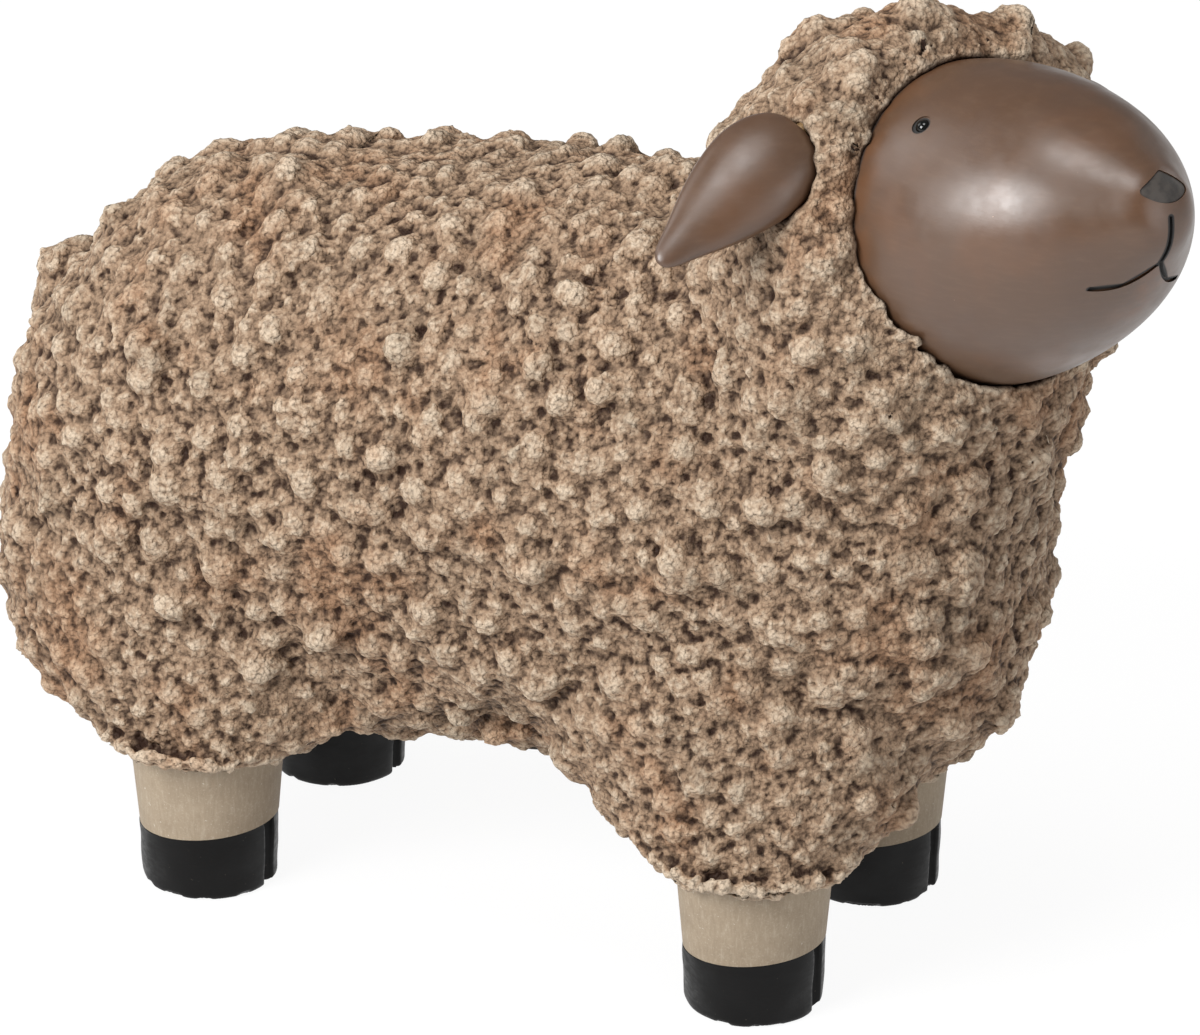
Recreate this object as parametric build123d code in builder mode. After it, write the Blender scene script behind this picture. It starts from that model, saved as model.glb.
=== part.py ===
from build123d import *
import math
import os

os.makedirs("parts", exist_ok=True)

# A cast garden ornament of a standing sheep: a hollow fleece casting, a face, two ears, four legs
# and four hooves, tied together by dowels and rods. Millimetres, +X towards the sheep's chest,
# +Y to its left, +Z up, with the origin on the ground under the middle of the whole ornament.

# Stance, from foot centre to foot centre
stance_length = 239.0
stance_width = 110.0

# Hooves
hoof_diameter = 56.0
hoof_foot_diameter = 53.5
hoof_height = 26.5
hoof_tilt = 5.4
hoof_sole_edge = 2.0
hoof_lip_height = 2.2
hoof_lip_reach = 0.8
hoof_floor = 7.0
cleft_width = 7.0
toe_cleft_depth = 5.0
heel_cleft_depth = 2.2

# Legs
leg_foot_diameter = 54.5
leg_top_diameter = 62.0
leg_seat_depth = 4.0
leg_spigot_diameter = 38.0
leg_tenon_diameter = 44.0
leg_tenon_length = 30.0

# Rods that run up each leg
rod_diameter = 8.0
rod_foot_depth = 4.0
rod_reach = 16.0

# Fleece casting: torso and the flares that come down over the legs
torso_length = 428.0
torso_width = 184.0
torso_underside = 60.0
torso_height = 256.0
rump_overhang = 99.0
fleece_wall = 9.0
fleece_lip_height = 60.5
fleece_lip_overhang = 5.0
flare_height = 100.0
flare_length = 154.0
flare_width = 100.0
flare_inset = 14.0
front_flare_setback = 15.0
hind_flare_setback = 4.0
flare_blend_height = 185.0
flare_blend_length = 120.0
flare_blend_width = 88.0
boss_wall = 8.0
boss_cap = 5.0

# Fleece casting: neck, hood and tail
hood_forward = 164.0
hood_height = 310.0
hood_radius = 83.0
hood_back = 62.0
hood_front = 33.0
hood_back_round = 52.0
hood_rim_round = 24.0
neck_height = 175.0
ruff_reach = 88.0
neck_width = 172.0
tail_length = 46.0
tail_drop = 58.0
tail_height = 214.0
tail_proud = 5.0

# Knobs of the fleece, the largest lumps of its rough casting, and how deep the ground between them is
fleece_ground = 1.5
knob_diameter = 21.0
knob_rise = 4.6
knob_spacing = 27.0
knob_margin = 2.0

# Head turn, lift and roll, in degrees
head_turn = 23.5
head_lift = 20.5
head_roll = 9.0

# Face
face_radius = 61.0
face_length = 106.0
face_seat = 29.0
face_seat_wall = 5.0
face_wall = 8.0
face_spigot_diameter = 106.0
face_spigot_length = 10.0
face_spigot_wall = 7.0

# Eyes
eye_diameter = 5.6
eye_bulge = 1.0
eye_socket_diameter = 8.0
eye_socket_depth = 0.7
eye_shank_diameter = 2.4
eye_shank_length = 4.5
eye_clock = 48.0

# Nose and mouth
nose_width = 23.5
nose_drop = 7.0
nose_crown = 5.5
nose_round = 1.6
nose_depth = 3.5
nose_recess = 0.5
mouth_groove = 1.5
mouth_depth = 1.3
mouth_half_width = 21.5
mouth_sag = 7.0
philtrum_top = 2.4
philtrum_foot = 18.5

# Ears, each pointing out, back and down from its seat in the hood
ear_length = 76.0
ear_width = 40.0
ear_thickness = 21.0
ear_seat_depth = 5.0
ear_root_out = 70.0
ear_root_up = 37.5
ear_root_forward = 8.5
ear_sweep = 8.5
ear_droop = 32.5
ear_roll = 34.5
ear_dowel_diameter = 7.0
ear_dowel_hold = 16.0
ear_dowel_reach = 14.0

# Vent under the belly and its plug
vent_diameter = 22.0
plug_head_diameter = 30.0
plug_head_thickness = 3.0

# Fits
glue_gap = 0.25
seam_gap = 0.9
overrun = 2.0

# Places of the belly's underside up the torso's height, and of eyes and nose along the face's outline
belly_low_share = 0.005
eye_place_share = 0.185
nose_place_share = 0.937

# Sizes that the knobs take in turn, and how far down the fleece may face where they still stand
knob_size_shares = (1.00, 0.72, 1.16, 0.85)
knob_least_lift_share = -0.5

# Places along the stance from which rays find the knobs' spots, and how many rays each sends out
spine_shares = (-0.55, -0.15, 0.25, 0.60)
knob_rays = 150

# Upright sections of the torso from rump to chest, each as its place along the torso, its half
# width, its underside and its back, as shares of the torso's length, half width and height
torso_section_shares = [
    (0.000, 0.26, 0.15, 0.48),
    (0.020, 0.56, 0.07, 0.63),
    (0.075, 0.80, 0.02, 0.77),
    (0.180, 0.95, 0.01, 0.88),
    (0.380, 1.00, belly_low_share, 0.945),
    (0.600, 1.00, belly_low_share, 0.99),
    (0.800, 0.96, belly_low_share, 1.00),
    (0.930, 0.80, 0.10, 0.96),
    (0.980, 0.58, 0.19, 0.86),
    (1.000, 0.30, 0.32, 0.70),
]

# Level sections of the neck, each as its height above the neck's foot, its middle, its reach
# forward and back, and its half width, as shares of the neck's height, the hood's place forward,
# the ruff's reach and the neck's half width
neck_section_shares = [
    (0.00, 0.680, 0.93, 0.90),
    (0.30, 0.770, 0.98, 1.00),
    (0.65, 0.866, 0.93, 0.98),
    (0.95, 0.927, 0.91, 0.94),
    (1.18, 0.930, 0.62, 0.66),
]

# Outline of the face's egg, as places along its length and out to its radius
face_outline_shares = [(0.0, 1.0), (0.25, 0.955), (0.5, 0.82), (0.75, 0.575), (0.92, 0.31), (1.0, 0.0)]

# Sections of an ear from root to tip, as places along its length and sizes of its full section
ear_section_shares = [
    (0.00, 0.52),
    (0.05, 0.74),
    (0.16, 0.94),
    (0.32, 1.00),
    (0.52, 0.86),
    (0.72, 0.60),
    (0.90, 0.33),
    (0.98, 0.18),
    (1.00, 0.08),
]


def direction(turn, lift):
    """Unit vector turned from +X towards the sheep's right and lifted from level, in degrees."""
    turn_angle, lift_angle = math.radians(turn), math.radians(lift)
    return Vector(
        math.cos(lift_angle) * math.cos(turn_angle),
        -math.cos(lift_angle) * math.sin(turn_angle),
        math.sin(lift_angle),
    )


# Head directions: forward along the face, to the sheep's left, and up, the last two rolled so that
# the crown leans to the left
face_axis = direction(head_turn, head_lift)
level_left = direction(head_turn - 90, 0)
head_left = level_left.rotate(Axis((0, 0, 0), face_axis), -head_roll)
head_up = face_axis.cross(head_left)

# The ornament reaches from the rump to the tip of the face, and its origin is halfway
rump_reach = stance_length / 2 + rump_overhang
face_tip_reach = hood_forward + (face_seat + face_length) * face_axis.X
stance_x = (rump_reach - face_tip_reach) / 2

hood_centre = Vector(stance_x + hood_forward, 0, hood_height)
head_plane = Plane(origin=hood_centre, x_dir=head_left, z_dir=face_axis)
head_profile = Plane(origin=hood_centre, x_dir=face_axis, z_dir=-head_left)
head_axis = Axis(hood_centre, face_axis)

# Feet, each as its place along and across and the setback of the flare above it
front_x = stance_x + stance_length / 2
hind_x = stance_x - stance_length / 2
feet = {
    "right_front": (front_x, -stance_width / 2, front_flare_setback),
    "left_front": (front_x, stance_width / 2, front_flare_setback),
    "right_hind": (hind_x, -stance_width / 2, hind_flare_setback),
    "left_hind": (hind_x, stance_width / 2, hind_flare_setback),
}
foot_places = [(x, y) for x, y, setback in feet.values()]

# Heights up a leg, and of the belly
leg_seat = fleece_lip_height + leg_seat_depth
tenon_top = leg_seat + leg_tenon_length
rod_foot = hoof_floor - rod_foot_depth
rod_top = tenon_top + rod_reach
hoof_rise = math.tan(math.radians(hoof_tilt)) * hoof_diameter
belly_height = torso_underside + belly_low_share * torso_height + fleece_ground


def torso(inset):
    """Barrel of the body from rump to chest, drawn in by an inset all round."""
    length = torso_length - 2 * inset
    start = stance_x - rump_reach + inset
    with BuildPart() as barrel:
        for place, width, low, high in torso_section_shares:
            bottom = torso_underside + low * torso_height + inset
            top = torso_underside + high * torso_height - inset
            with BuildSketch(Plane.YZ.offset(start + place * length)):
                with Locations((0, (bottom + top) / 2)):
                    Ellipse(width * torso_width / 2 - inset, (top - bottom) / 2)
        loft()
    return barrel.part


def neck(inset):
    """Neck and ruff between torso and hood, drawn in by an inset on every side."""
    foot = hood_height - neck_height
    with BuildPart() as column:
        for rise, middle, reach, width in neck_section_shares:
            with BuildSketch(Plane.XY.offset(foot + rise * neck_height)):
                with Locations((stance_x + middle * hood_forward, 0)):
                    Ellipse(reach * ruff_reach - inset, width * neck_width / 2 - inset)
        loft()
    return column.part


def hood(inset):
    """Domed hood round the head's axis, drawn in by an inset on every side."""
    back, front, radius = inset - hood_back, hood_front - inset, hood_radius - inset
    with BuildPart() as dome:
        with BuildSketch(head_profile) as outline:
            with BuildLine():
                Polyline((back, 0), (back, radius), (front, radius), (front, 0), close=True)
            make_face()
            crown = outline.vertices().group_by(Axis.Y)[-1].sort_by(Axis.X)
            fillet(crown[0], hood_back_round - inset)
            crown = outline.vertices().group_by(Axis.Y)[-1].sort_by(Axis.X)
            fillet(crown[-1], hood_rim_round - inset)
        revolve(axis=head_axis)
    return dome.part


def flare(foot_x, foot_y, setback):
    """Fleece that comes down from the torso's side to a lip round one leg."""
    middle = (foot_x - setback, foot_y - math.copysign(flare_inset, foot_y))
    with BuildPart() as skirt:
        with BuildSketch(Plane.XY.offset(fleece_lip_height)):
            with Locations((foot_x, foot_y)):
                Circle(leg_top_diameter / 2 + fleece_lip_overhang)
        for height, length, width in (
            (flare_height, flare_length, flare_width),
            (flare_blend_height, flare_blend_length, flare_blend_width),
        ):
            with BuildSketch(Plane.XY.offset(height)):
                with Locations(middle):
                    Ellipse(length / 2, width / 2)
        loft()
    return skirt.part


def face_points(outset):
    """Points of the egg's outline as (along the axis, out from it), moved out by an outset."""
    return [
        (face_seat + along * (face_length + outset), out * (face_radius + outset))
        for along, out in face_outline_shares
    ]


def egg(outset):
    """Solid egg of the face from its seat to its tip, moved out by an outset."""
    points = face_points(outset)
    with BuildPart() as shape:
        with BuildSketch(head_profile):
            with BuildLine():
                Spline(points, tangents=[(1, 0), (0, -1)])
                Polyline(points[-1], (face_seat, 0), points[0])
            make_face()
        revolve(axis=head_axis)
    return shape.part


face_outline = Spline(face_points(0), tangents=[(1, 0), (0, -1)])


def on_face(share, clock):
    """Plane on the egg's surface, z outwards, at a share of its outline and degrees left of its top."""
    spot, slope = face_outline.position_at(share), face_outline.tangent_at(share)
    out = head_up * math.cos(math.radians(clock)) + head_left * math.sin(math.radians(clock))
    return Plane(
        origin=hood_centre + face_axis * spot.X + out * spot.Y,
        x_dir=out.cross(face_axis) * -1,
        z_dir=out * slope.X - face_axis * slope.Y,
    )


def ear_plane(side):
    """Plane at an ear's root, z along the ear and x across its width, for side -1 right or 1 left."""
    sweep, droop, roll = math.radians(ear_sweep), math.radians(ear_droop), math.radians(ear_roll)
    level = head_left * side * math.cos(sweep) - face_axis * math.sin(sweep)
    along = level * math.cos(droop) - head_up * math.sin(droop)
    flat = (face_axis - along * face_axis.dot(along)).normalized()
    above = flat.cross(along) * side
    return Plane(
        origin=hood_centre
        + head_left * side * ear_root_out
        + head_up * ear_root_up
        + face_axis * ear_root_forward,
        x_dir=above * math.cos(roll) - flat * math.sin(roll),
        z_dir=along,
    )


def teardrop(side, outset):
    """Solid teardrop of one ear from its seat to its tip, moved out by an outset."""
    length = ear_length + 2 * outset
    start = -ear_seat_depth - outset
    with BuildPart() as drop:
        for place, size in ear_section_shares:
            with BuildSketch(ear_plane(side).offset(start + place * length)):
                Ellipse(size * ear_width / 2 + outset, size * ear_thickness / 2 + outset)
        loft()
    return drop.part


def nose_prism(gap):
    """Rounded triangle of the nose run through the face's skin, widened by a gap."""
    half = nose_width / 2
    with BuildPart() as prism:
        with BuildSketch(on_face(nose_place_share, 0)) as outline:
            with BuildLine():
                Polyline((half, 0), (0, -nose_drop), (-half, 0))
                ThreePointArc((-half, 0), (0, nose_crown), (half, 0))
            make_face()
            fillet(outline.vertices(), nose_round)
            if gap:
                offset(amount=gap)
        extrude(amount=nose_depth + gap, both=True)
    return prism.part


def golden_directions(count):
    """Directions spread evenly all round, each a golden angle on from the last."""
    golden_angle = math.pi * (3 - math.sqrt(5))
    for step in range(count):
        rise = 1 - (2 * step + 1) / count
        level = math.sqrt(1 - rise**2)
        yield Vector(
            level * math.cos(golden_angle * step), level * math.sin(golden_angle * step), rise
        )


def clear_of(form, spot, room):
    """Whether a spot lies outside a form, with some room between them."""
    return not form.solid().is_inside(spot) and form.distance_to(Vertex(spot)) > room


def knob_places(ground_form, centres, smooth_forms):
    """Spots on a form's skin, each with its way out, that leave room between knobs and at seams."""
    skin = ground_form.shell()
    room = max(knob_size_shares) * knob_diameter / 2 + knob_margin
    places = []
    for centre in centres:
        for way in golden_directions(knob_rays):
            hits = skin.find_intersection_points(Axis(centre, way))
            ahead = [hit for hit in hits if (hit[0] - centre).dot(way) > 0]
            if not ahead:
                continue
            spot, outward = ahead[0]
            apart = all((spot - other).length > knob_spacing for other, other_way in places)
            upright = outward.Z > knob_least_lift_share and spot.Z > fleece_lip_height + room
            if apart and upright and all(clear_of(form, spot, room) for form in smooth_forms):
                places.append((spot, outward))
    return places


def hoof_top(foot_x, foot_y):
    """Plane of a hoof's top, which rises towards the toe."""
    tilt = math.radians(hoof_tilt)
    return Plane(
        origin=(foot_x, foot_y, hoof_height),
        x_dir=(math.cos(tilt), 0, math.sin(tilt)),
        z_dir=(-math.sin(tilt), 0, math.cos(tilt)),
    )


# Tail: a lump of the fleece on the rump
tail_x = stance_x - rump_reach + tail_length / 2 - tail_proud
with BuildPart() as tail:
    with BuildSketch(Plane.XZ):
        with Locations((tail_x, tail_height)):
            Ellipse(tail_length / 2, tail_drop / 2)
            with Locations((tail_length / 2, 0)):
                Rectangle(tail_length, tail_drop, mode=Mode.SUBTRACT)
    revolve(axis=Axis((tail_x, 0, tail_height), (0, 0, 1)))

# Hollow inside the fleece, which leaves a wall behind the face and a boss at each leg and ear
hollow_inset = fleece_ground + fleece_wall
hollow_forms = [torso(hollow_inset), neck(hollow_inset), hood(hollow_inset)]
with BuildPart() as hollow:
    add(hollow_forms)
    split(bisect_by=head_plane.offset(face_seat - face_seat_wall), keep=Keep.BOTTOM)
    with BuildSketch():
        with Locations(foot_places):
            Circle(leg_tenon_diameter / 2 + boss_wall)
    extrude(amount=rod_top + boss_cap, mode=Mode.SUBTRACT)
    for side in (-1, 1):
        with BuildSketch(ear_plane(side)):
            Circle(ear_dowel_diameter / 2 + boss_wall)
        extrude(amount=-ear_seat_depth - ear_dowel_reach - boss_cap, mode=Mode.SUBTRACT)

# Ground of the fleece between its knobs
ground_forms = [torso(fleece_ground), neck(fleece_ground), hood(fleece_ground), tail.part]
with BuildPart() as ground:
    add(ground_forms + [flare(*foot) for foot in feet.values()])

# Knobs: half balls that stand on the ground all over, clear of the face and the ears
smooth_forms = [egg(seam_gap), teardrop(-1, seam_gap), teardrop(1, seam_gap)]
spine_height = torso_underside + torso_height / 2
spine = [Vector(stance_x + share * stance_length, 0, spine_height) for share in spine_shares]
places = knob_places(ground.part, [hood_centre] + spine, smooth_forms)
with BuildPart() as knobs:
    for turn, share in enumerate(knob_size_shares):
        sunk = share * (knob_diameter / 2 - knob_rise)
        mine = places[turn :: len(knob_size_shares)]
        with Locations([Plane(origin=spot - outward * sunk, z_dir=outward) for spot, outward in mine]):
            Sphere(share * knob_diameter / 2, arc_size1=0, align=(Align.CENTER, Align.CENTER, Align.MIN))

# Fleece: ground, hollow, recesses for face and ears, leg sockets, rod bores, belly vent and knobs
with BuildPart() as fleece_shell:
    add(ground.part)
    add([hollow.part] + smooth_forms, mode=Mode.SUBTRACT)
    with BuildSketch(head_plane.offset(face_seat)):
        Circle(face_spigot_diameter / 2 + glue_gap)
    extrude(amount=-face_seat_wall - overrun, mode=Mode.SUBTRACT)
    for side in (-1, 1):
        with BuildSketch(ear_plane(side)):
            Circle(ear_dowel_diameter / 2 + glue_gap)
        extrude(amount=-ear_seat_depth - ear_dowel_reach, mode=Mode.SUBTRACT)
    for bore_diameter, bore_top in (
        (leg_top_diameter, leg_seat),
        (leg_tenon_diameter, tenon_top + glue_gap),
        (rod_diameter, rod_top + glue_gap),
    ):
        with BuildSketch():
            with Locations(foot_places):
                Circle(bore_diameter / 2 + glue_gap)
        extrude(amount=bore_top, mode=Mode.SUBTRACT)
    for bore_diameter, bore_top in (
        (plug_head_diameter, belly_height + plug_head_thickness),
        (vent_diameter, belly_height + fleece_wall + overrun),
    ):
        with BuildSketch():
            with Locations((stance_x, 0)):
                Circle(bore_diameter / 2 + glue_gap)
        extrude(amount=bore_top, mode=Mode.SUBTRACT)
    add(knobs.part)
fleece_shell.part.label = "fleece_shell"
export_step(fleece_shell.part, "parts/fleece_shell.step")

# Plug that closes the vent: a flat head in the belly's counterbore and a stem through the wall
with BuildPart() as belly_plug:
    for diameter, thickness in ((plug_head_diameter, plug_head_thickness), (vent_diameter, fleece_wall)):
        with BuildSketch(Plane.XY.offset(belly_height)):
            with Locations((stance_x, 0)):
                Circle(diameter / 2)
        extrude(amount=thickness)
belly_plug.part.label = "belly_plug"
export_step(belly_plug.part, "parts/belly_plug.step")

# Inside of the face, ahead of a flange that carries the spigot
inner_egg = egg(-face_wall)
with BuildPart() as face_hollow:
    add(inner_egg)
    split(bisect_by=head_plane.offset(face_seat + face_wall), keep=Keep.TOP)

# Mouth and philtrum, carved to an even depth below the egg's surface
mouth_skin = egg(-mouth_depth)
with BuildPart() as mouth_cutter:
    with BuildSketch(head_plane.offset(face_seat + face_length)):
        with BuildLine():
            Line((0, -philtrum_top), (0, -philtrum_foot))
            for side in (-1, 1):
                Spline(
                    (0, -philtrum_foot),
                    (side * mouth_half_width / 2, -philtrum_foot - mouth_sag),
                    (side * mouth_half_width, -philtrum_foot - mouth_sag),
                )
        trace(line_width=mouth_groove)
    extrude(amount=-face_length)
    add(mouth_skin, mode=Mode.SUBTRACT)

# Face: a hollow egg with a spigot behind, eye sockets, a nose pocket and a carved mouth
outer_egg = egg(0)
eye_planes = {
    "right": on_face(eye_place_share, -eye_clock),
    "left": on_face(eye_place_share, eye_clock),
}
face_recess_forms = [face_hollow.part, mouth_cutter.part, nose_prism(glue_gap)]
with BuildPart() as face:
    add(outer_egg)
    with BuildSketch(head_plane.offset(face_seat)):
        Circle(face_spigot_diameter / 2)
    extrude(amount=-face_spigot_length)
    add(face_recess_forms, mode=Mode.SUBTRACT)
    with BuildSketch(head_plane.offset(face_seat + face_wall)):
        Circle(face_spigot_diameter / 2 - face_spigot_wall)
    extrude(amount=-face_wall - face_spigot_length, mode=Mode.SUBTRACT)
    for plane in eye_planes.values():
        with BuildSketch(plane):
            Circle(eye_socket_diameter / 2)
        extrude(amount=eye_socket_depth, both=True, mode=Mode.SUBTRACT)
        with BuildSketch(plane):
            Circle(eye_shank_diameter / 2 + glue_gap)
        extrude(amount=-eye_socket_depth - eye_shank_length - glue_gap, mode=Mode.SUBTRACT)
face.part.label = "face"
export_step(face.part, "parts/face.step")

# Nose: a dark inlay whose front follows the egg just below its surface
nose_skin = egg(-nose_recess)
nose_blank = nose_prism(0)
with BuildPart() as nose:
    add(nose_blank)
    add(nose_skin, mode=Mode.INTERSECT)
nose.part.label = "nose"
export_step(nose.part, "parts/nose.step")

# Eyes: a low dome, cut from a ball, on a shank
eye_dome = eye_socket_depth + eye_bulge
eye_ball_radius = ((eye_diameter / 2) ** 2 + eye_dome**2) / (2 * eye_dome)
for side, plane in eye_planes.items():
    with BuildPart() as eye:
        with BuildSketch(Plane(origin=plane.origin, x_dir=plane.x_dir, z_dir=plane.y_dir * -1)):
            with BuildLine():
                RadiusArc((eye_diameter / 2, -eye_socket_depth), (0, eye_bulge), -eye_ball_radius)
                Polyline(
                    (0, eye_bulge),
                    (0, -eye_socket_depth - eye_shank_length),
                    (eye_shank_diameter / 2, -eye_socket_depth - eye_shank_length),
                    (eye_shank_diameter / 2, -eye_socket_depth),
                    (eye_diameter / 2, -eye_socket_depth),
                )
            make_face()
        revolve(axis=Axis(plane.origin, plane.z_dir))
    eye.part.label = f"{side}_eye"
    export_step(eye.part, f"parts/{side}_eye.step")

# Ears and the dowels that carry them
for side, name in ((-1, "right"), (1, "left")):
    drop = teardrop(side, 0)
    root = ear_plane(side)
    with BuildPart() as ear:
        add(drop)
        with BuildSketch(root.offset(-ear_seat_depth)):
            Circle(ear_dowel_diameter / 2 + glue_gap)
        extrude(amount=ear_seat_depth + ear_dowel_hold + glue_gap, mode=Mode.SUBTRACT)
    ear.part.label = f"{name}_ear"
    export_step(ear.part, f"parts/{name}_ear.step")
    with BuildPart() as dowel:
        with BuildSketch(root.offset(-ear_seat_depth - ear_dowel_reach + glue_gap)):
            Circle(ear_dowel_diameter / 2)
        extrude(amount=ear_dowel_reach - glue_gap + ear_seat_depth + ear_dowel_hold)
    dowel.part.label = f"{name}_ear_dowel"
    export_step(dowel.part, f"parts/{name}_ear_dowel.step")

for corner, (foot_x, foot_y, setback) in feet.items():
    top = hoof_top(foot_x, foot_y)

    # Hoof: a cup with a lip, a cleft at the toe and a shallow one at the heel
    with BuildPart() as hoof:
        for height, diameter in ((0, hoof_foot_diameter), (hoof_height + hoof_rise, hoof_diameter)):
            with BuildSketch(Plane.XY.offset(height)):
                with Locations((foot_x, foot_y)):
                    Circle(diameter / 2)
        loft()
        fillet(hoof.edges().group_by(Axis.Z)[0], hoof_sole_edge)
        split(bisect_by=top, keep=Keep.BOTTOM)
        with BuildSketch(top):
            Circle(hoof_diameter / 2 + hoof_lip_reach)
        extrude(amount=-hoof_lip_height)
        with BuildSketch(Plane.XY.offset(hoof_floor)):
            with Locations((foot_x, foot_y)):
                Circle(leg_spigot_diameter / 2 + glue_gap)
        extrude(amount=hoof_height, mode=Mode.SUBTRACT)
        with BuildSketch(Plane.XY.offset(rod_foot)):
            with Locations((foot_x, foot_y)):
                Circle(rod_diameter / 2 + glue_gap)
        extrude(amount=hoof_height, mode=Mode.SUBTRACT)
        with BuildSketch():
            with Locations((foot_x + hoof_diameter / 2, foot_y)):
                Ellipse(toe_cleft_depth, cleft_width / 2)
            with Locations((foot_x - hoof_diameter / 2, foot_y)):
                Ellipse(heel_cleft_depth, cleft_width / 2)
        extrude(amount=hoof_height + hoof_rise, mode=Mode.SUBTRACT)
    hoof.part.label = f"{corner}_hoof"
    export_step(hoof.part, f"parts/{corner}_hoof.step")

    # Leg: a tapering stub with a spigot in the hoof and a tenon in the fleece
    with BuildPart() as leg:
        for height, diameter in (
            (hoof_height - hoof_rise, leg_foot_diameter),
            (leg_seat, leg_top_diameter),
        ):
            with BuildSketch(Plane.XY.offset(height)):
                with Locations((foot_x, foot_y)):
                    Circle(diameter / 2)
        loft()
        split(bisect_by=top, keep=Keep.TOP)
        with BuildSketch(Plane.XY.offset(hoof_floor + glue_gap)):
            with Locations((foot_x, foot_y)):
                Circle(leg_spigot_diameter / 2)
        extrude(amount=hoof_height)
        with BuildSketch(Plane.XY.offset(leg_seat)):
            with Locations((foot_x, foot_y)):
                Circle(leg_tenon_diameter / 2)
        extrude(amount=leg_tenon_length)
        with BuildSketch():
            with Locations((foot_x, foot_y)):
                Circle(rod_diameter / 2 + glue_gap)
        extrude(amount=tenon_top, mode=Mode.SUBTRACT)
    leg.part.label = f"{corner}_leg"
    export_step(leg.part, f"parts/{corner}_leg.step")

    # Rod: plain steel bar from the hoof's floor to the boss in the fleece
    with BuildPart() as rod:
        with BuildSketch(Plane.XY.offset(rod_foot)):
            with Locations((foot_x, foot_y)):
                Circle(rod_diameter / 2)
        extrude(amount=rod_top - rod_foot)
    rod.part.label = f"{corner}_rod"
    export_step(rod.part, f"parts/{corner}_rod.step")
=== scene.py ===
"""Sheep figurine: a cast garden ornament of a standing sheep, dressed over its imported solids.

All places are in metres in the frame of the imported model: +X towards the sheep's chest, +Y to its
left, +Z up, with the ground at zero. Sizes of finishes and of relief are written in millimetres.
"""

import logging
import math
from dataclasses import dataclass, field
from enum import Enum
from typing import Any

import bmesh
import bpy
import numpy as np
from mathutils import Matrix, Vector, noise
from mathutils.bvhtree import BVHTree
from mathutils.kdtree import KDTree


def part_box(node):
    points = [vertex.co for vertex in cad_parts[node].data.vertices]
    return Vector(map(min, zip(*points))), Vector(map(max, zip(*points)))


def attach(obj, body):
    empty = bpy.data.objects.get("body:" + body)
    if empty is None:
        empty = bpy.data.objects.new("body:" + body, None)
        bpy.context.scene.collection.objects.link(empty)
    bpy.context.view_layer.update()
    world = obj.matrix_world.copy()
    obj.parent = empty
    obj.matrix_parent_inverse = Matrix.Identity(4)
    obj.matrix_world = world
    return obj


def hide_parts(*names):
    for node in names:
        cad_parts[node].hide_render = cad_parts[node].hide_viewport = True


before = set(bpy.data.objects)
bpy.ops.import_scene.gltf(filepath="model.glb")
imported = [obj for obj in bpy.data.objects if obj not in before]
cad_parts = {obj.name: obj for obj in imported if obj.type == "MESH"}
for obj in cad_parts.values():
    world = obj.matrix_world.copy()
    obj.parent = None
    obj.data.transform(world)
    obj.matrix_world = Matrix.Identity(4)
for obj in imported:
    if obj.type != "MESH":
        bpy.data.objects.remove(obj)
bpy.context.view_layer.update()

MM = 0.001
BODY = "root"
Socket = bpy.types.NodeSocket
log = logging.getLogger("sheep")


def linear(hex_colour: str) -> tuple[float, float, float, float]:
    """Turns an sRGB hex colour into Blender's linear colour.

    Args:
        hex_colour: six hex digits, red first.

    Returns:
        Linear red, green and blue, and an alpha of one.
    """
    shares = [int(hex_colour[i : i + 2], 16) / 255 for i in (0, 2, 4)]
    light = [s / 12.92 if s <= 0.04045 else ((s + 0.055) / 1.055) ** 2.4 for s in shares]
    return (light[0], light[1], light[2], 1.0)


def per_metre(size_mm: float) -> float:
    """Texture scale whose features repeat at a size in millimetres."""
    return 1 / (size_mm * MM)


def add_node(
    tree: bpy.types.NodeTree,
    kind: str,
    feeds: dict[int | str, Any] | None = None,
    **settings: Any,
) -> bpy.types.Node:
    """Adds a node with its settings, and feeds its sockets with values or links.

    Args:
        tree: the node tree that gets the node.
        kind: Blender's name of the node's type.
        feeds: for a socket's name or number, a value or another node's output socket.
        settings: the node's own properties.

    Returns:
        The new node.
    """
    node = tree.nodes.new(kind)
    for name, value in settings.items():
        setattr(node, name, value)
    for key, value in (feeds or {}).items():
        if isinstance(value, bpy.types.NodeSocket):
            tree.links.new(value, node.inputs[key])
        else:
            node.inputs[key].default_value = value
    return node


class Blend(Enum):
    """Ways of mixing two colours."""

    OVER = "MIX"
    MULTIPLY = "MULTIPLY"


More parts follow.
